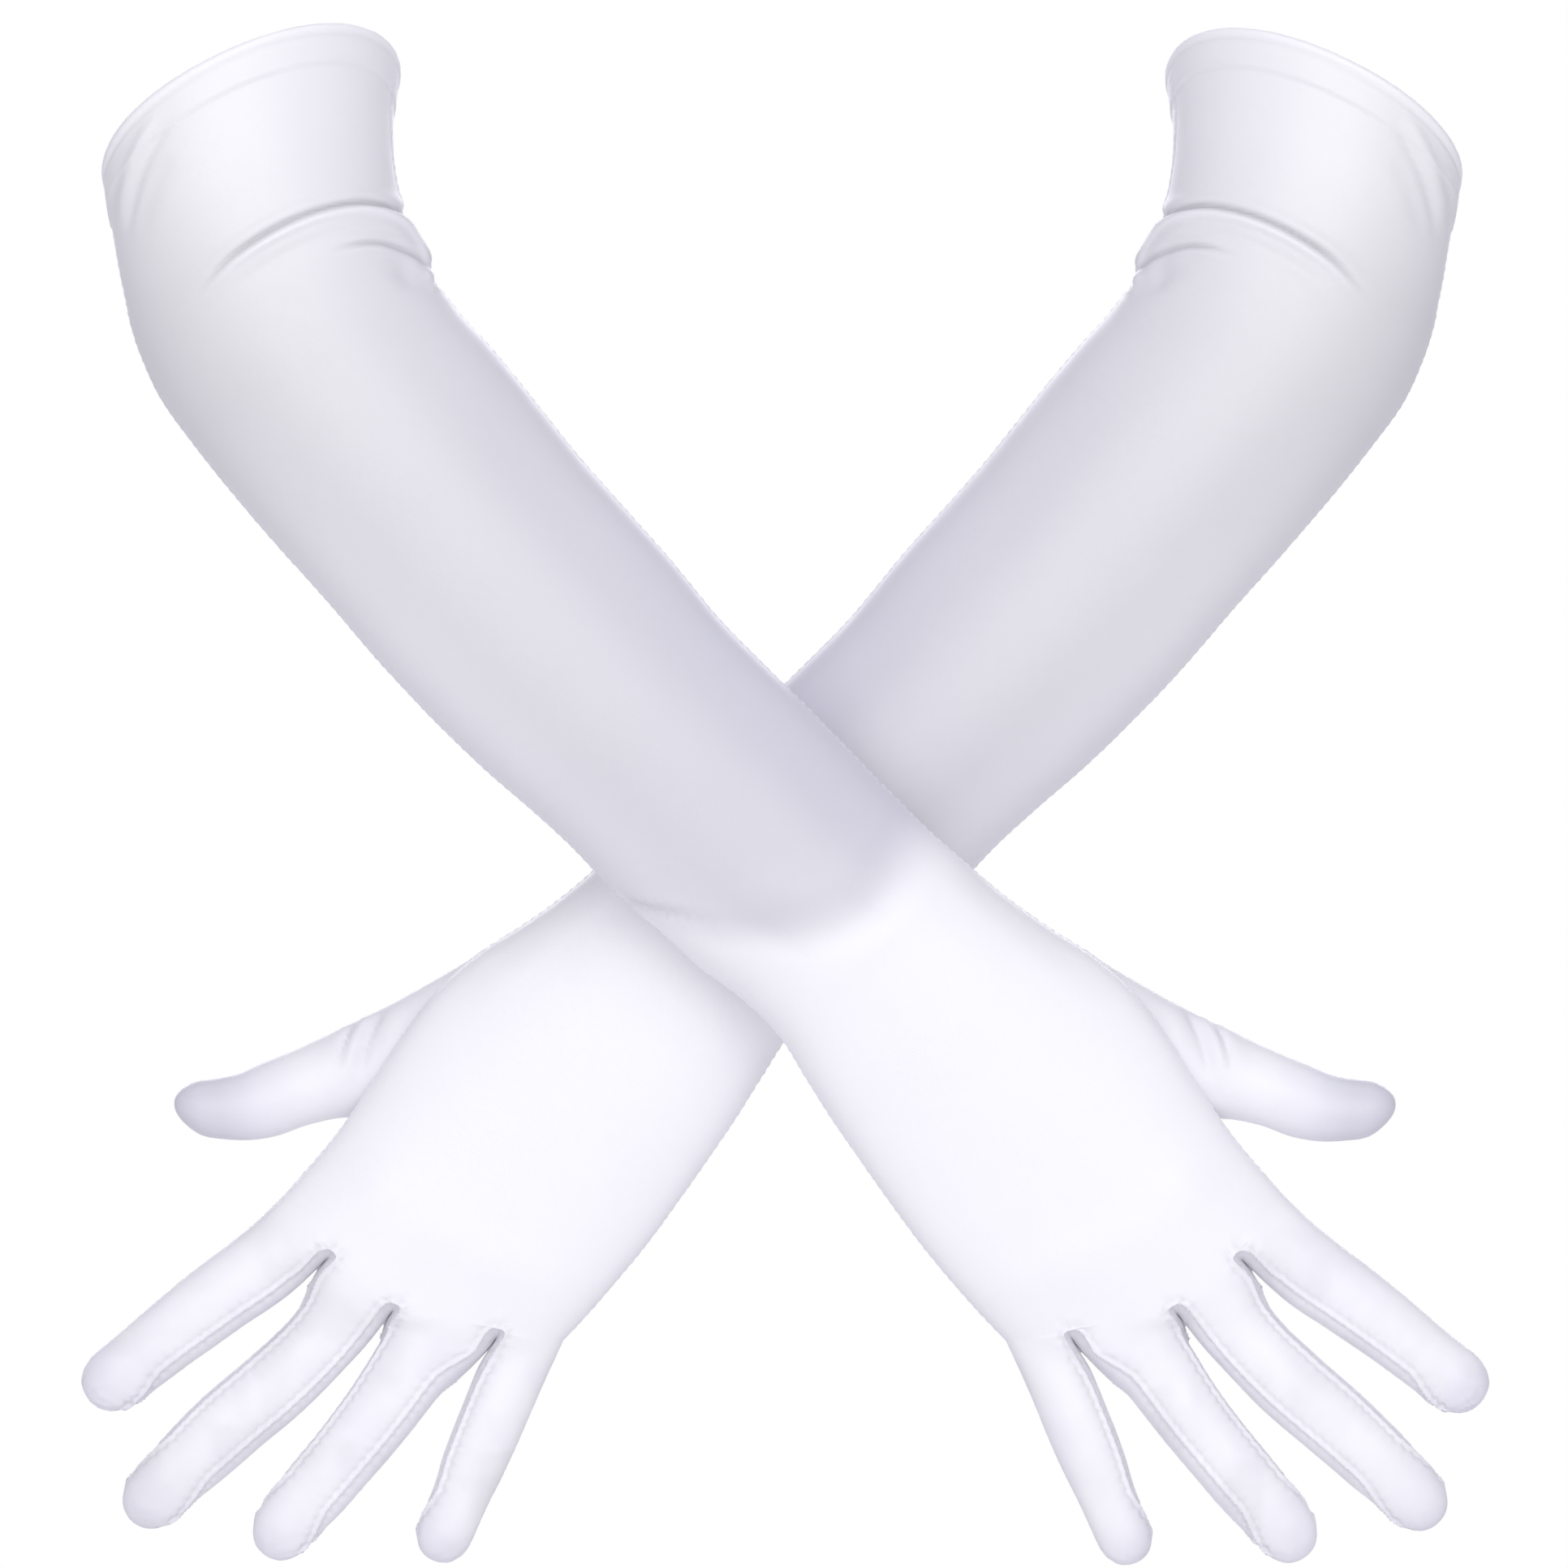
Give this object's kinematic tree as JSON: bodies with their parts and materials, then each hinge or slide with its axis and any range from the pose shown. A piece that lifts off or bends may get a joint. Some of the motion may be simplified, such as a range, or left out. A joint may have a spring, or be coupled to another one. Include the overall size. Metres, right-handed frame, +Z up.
{
  "type": "opera gloves",
  "caption": "Pair of long stretch-satin dress gloves reaching over the elbow, crossed in an X with the fingers spread; turned hems, set-in thumbs and strips between the fingers.",
  "frame": {"origin": "centre of the bounding box in X and Y, at the height of the lowest fingertip", "axes": "+Z up, from the fingertips to the mouths; +X towards the right glove's hand; -Y is the side that the backs of both hands face. The right glove crosses in front of the left"},
  "size_m": [0.3646, 0.1457, 0.3993],
  "materials": {
    "satin": "stretch satin",
    "hem_satin": "stretch satin, turned double",
    "thread": "polyester thread"
  },
  "bodies": {
    "right_cuff": {"right_cuff_back": "satin", "right_cuff_inner_seam_thread": "thread", "right_cuff_outer_seam_thread": "thread", "right_cuff_palm": "satin", "right_hem": "hem_satin", "right_hem_stitching": "thread"},
    "right_sleeve": {"right_sleeve_back": "satin", "right_sleeve_inner_seam_thread": "thread", "right_sleeve_outer_seam_thread": "thread", "right_sleeve_palm": "satin"},
    "right_hand": {"right_hand_back": "satin", "right_hand_inner_seam_thread": "thread", "right_hand_outer_seam_thread": "thread", "right_hand_palm": "satin"},
    "right_thumb": {"right_thumb": "satin"},
    "right_index": {"right_index_back": "satin", "right_index_fourchette_inner": "satin", "right_index_palm": "satin"},
    "right_middle": {"right_middle_back": "satin", "right_middle_fourchette_index_side": "satin", "right_middle_fourchette_ring_side": "satin", "right_middle_palm": "satin"},
    "right_ring": {"right_ring_back": "satin", "right_ring_fourchette_little_side": "satin", "right_ring_fourchette_middle_side": "satin", "right_ring_palm": "satin"},
    "right_little": {"right_little_back": "satin", "right_little_fourchette_inner": "satin", "right_little_palm": "satin"},
    "left_cuff": {"left_cuff_back": "satin", "left_cuff_inner_seam_thread": "thread", "left_cuff_outer_seam_thread": "thread", "left_cuff_palm": "satin", "left_hem": "hem_satin", "left_hem_stitching": "thread"},
    "left_sleeve": {"left_sleeve_back": "satin", "left_sleeve_inner_seam_thread": "thread", "left_sleeve_outer_seam_thread": "thread", "left_sleeve_palm": "satin"},
    "left_hand": {"left_hand_back": "satin", "left_hand_inner_seam_thread": "thread", "left_hand_outer_seam_thread": "thread", "left_hand_palm": "satin"},
    "left_thumb": {"left_thumb": "satin"},
    "left_index": {"left_index_back": "satin", "left_index_fourchette_inner": "satin", "left_index_palm": "satin"},
    "left_middle": {"left_middle_back": "satin", "left_middle_fourchette_index_side": "satin", "left_middle_fourchette_ring_side": "satin", "left_middle_palm": "satin"},
    "left_ring": {"left_ring_back": "satin", "left_ring_fourchette_little_side": "satin", "left_ring_fourchette_middle_side": "satin", "left_ring_palm": "satin"},
    "left_little": {"left_little_back": "satin", "left_little_fourchette_inner": "satin", "left_little_palm": "satin"}
  },
  "joints": [
    {"name": "pair_apart", "type": "slide", "parent": "left_cuff", "child": "right_cuff", "axis": [0, -1, 0], "range_m": [0, 0.06], "stiffness_N_per_m": 300},
    {"name": "right_elbow", "type": "hinge", "parent": "right_cuff", "child": "right_sleeve", "pos_m": [-0.13211, -0.03569, 0.33352], "axis": [0, -1, 0], "range_deg": [-10, 30], "stiffness_Nm_per_rad": 0.6},
    {"name": "right_wrist", "type": "hinge", "parent": "right_sleeve", "child": "right_hand", "pos_m": [0.02801, -0.02234, 0.1537], "axis": [0.7505, 0, 0.6609], "range_deg": [-15, 20], "stiffness_Nm_per_rad": 0.3},
    {"name": "right_thumb_swing", "type": "hinge", "parent": "right_hand", "child": "right_thumb", "pos_m": [0.105, -0.00834, 0.13361], "axis": [0, -1, 0], "range_deg": [-6, 12], "stiffness_Nm_per_rad": 0.02},
    {"name": "right_index_bend", "type": "hinge", "parent": "right_hand", "child": "right_index", "pos_m": [0.12833, -0.01331, 0.08289], "axis": [0.681, 0, 0.7323], "range_deg": [-10, 45], "stiffness_Nm_per_rad": 0.02},
    {"name": "right_middle_bend", "type": "hinge", "parent": "right_hand", "child": "right_middle", "pos_m": [0.11297, -0.01331, 0.06666], "axis": [0.7881, 0, 0.6156], "range_deg": [-10, 45], "stiffness_Nm_per_rad": 0.02},
    {"name": "right_ring_bend", "type": "hinge", "parent": "right_hand", "child": "right_ring", "pos_m": [0.09162, -0.01331, 0.05751], "axis": [0.7906, 0, 0.6123], "range_deg": [-10, 45], "stiffness_Nm_per_rad": 0.02},
    {"name": "right_little_bend", "type": "hinge", "parent": "right_hand", "child": "right_little", "pos_m": [0.0691, -0.01331, 0.05303], "axis": [0.9058, 0, 0.4238], "range_deg": [-10, 45], "stiffness_Nm_per_rad": 0.02},
    {"name": "left_elbow", "type": "hinge", "parent": "left_cuff", "child": "left_sleeve", "pos_m": [0.13211, 0.03541, 0.33352], "axis": [0, 1, 0], "range_deg": [-10, 30], "stiffness_Nm_per_rad": 0.6},
    {"name": "left_wrist", "type": "hinge", "parent": "left_sleeve", "child": "left_hand", "pos_m": [-0.02801, 0.02206, 0.1537], "axis": [0.7505, 0, -0.6609], "range_deg": [-15, 20], "stiffness_Nm_per_rad": 0.3},
    {"name": "left_thumb_swing", "type": "hinge", "parent": "left_hand", "child": "left_thumb", "pos_m": [-0.105, 0.02926, 0.13361], "axis": [0, 1, 0], "range_deg": [-6, 12], "stiffness_Nm_per_rad": 0.02},
    {"name": "left_index_bend", "type": "hinge", "parent": "left_hand", "child": "left_index", "pos_m": [-0.12833, 0.02109, 0.08289], "axis": [0.681, 0, -0.7323], "range_deg": [-10, 45], "stiffness_Nm_per_rad": 0.02},
    {"name": "left_middle_bend", "type": "hinge", "parent": "left_hand", "child": "left_middle", "pos_m": [-0.11297, 0.02109, 0.06666], "axis": [0.7881, 0, -0.6156], "range_deg": [-10, 45], "stiffness_Nm_per_rad": 0.02},
    {"name": "left_ring_bend", "type": "hinge", "parent": "left_hand", "child": "left_ring", "pos_m": [-0.09162, 0.02109, 0.05751], "axis": [0.7906, 0, -0.6123], "range_deg": [-10, 45], "stiffness_Nm_per_rad": 0.02},
    {"name": "left_little_bend", "type": "hinge", "parent": "left_hand", "child": "left_little", "pos_m": [-0.0691, 0.02109, 0.05303], "axis": [0.9058, 0, -0.4238], "range_deg": [-10, 45], "stiffness_Nm_per_rad": 0.02}
  ]
}
